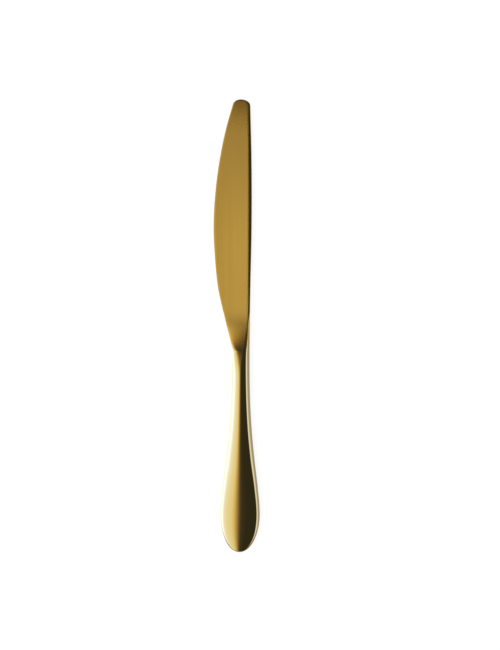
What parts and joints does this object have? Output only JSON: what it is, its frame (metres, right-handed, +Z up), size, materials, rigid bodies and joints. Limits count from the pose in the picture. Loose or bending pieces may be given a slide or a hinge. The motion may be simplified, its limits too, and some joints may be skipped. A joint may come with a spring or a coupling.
{
  "type": "table knife",
  "caption": "Table knife with a satin blade, blunt round tip and polished hollow handle that swells towards its butt end.",
  "frame": {"origin": "middle of the bounding box seen from above, on the plane that the knife lies on", "axes": "+Y along the knife towards the blade's tip, +X towards the spine and -X towards the cutting edge, +Z up from the side that the knife lies on to the side that the picture shows"},
  "size_m": [0.0254, 0.24, 0.0082],
  "materials": {
    "blade_steel": "satin stainless steel with a thin gold-coloured coating",
    "handle_steel": "mirror-polished stainless steel with a thin gold-coloured coating",
    "braze": "brazing alloy, polished flush and coated with the handle",
    "cement": "hard cement, rough, hidden inside the handle"
  },
  "bodies": {
    "root": {"blade": "blade_steel", "handle_front_shell": "handle_steel", "handle_back_shell": "handle_steel", "seam_braze": "braze", "mouth_braze": "braze", "handle_filling": "cement"}
  },
  "joints": []
}
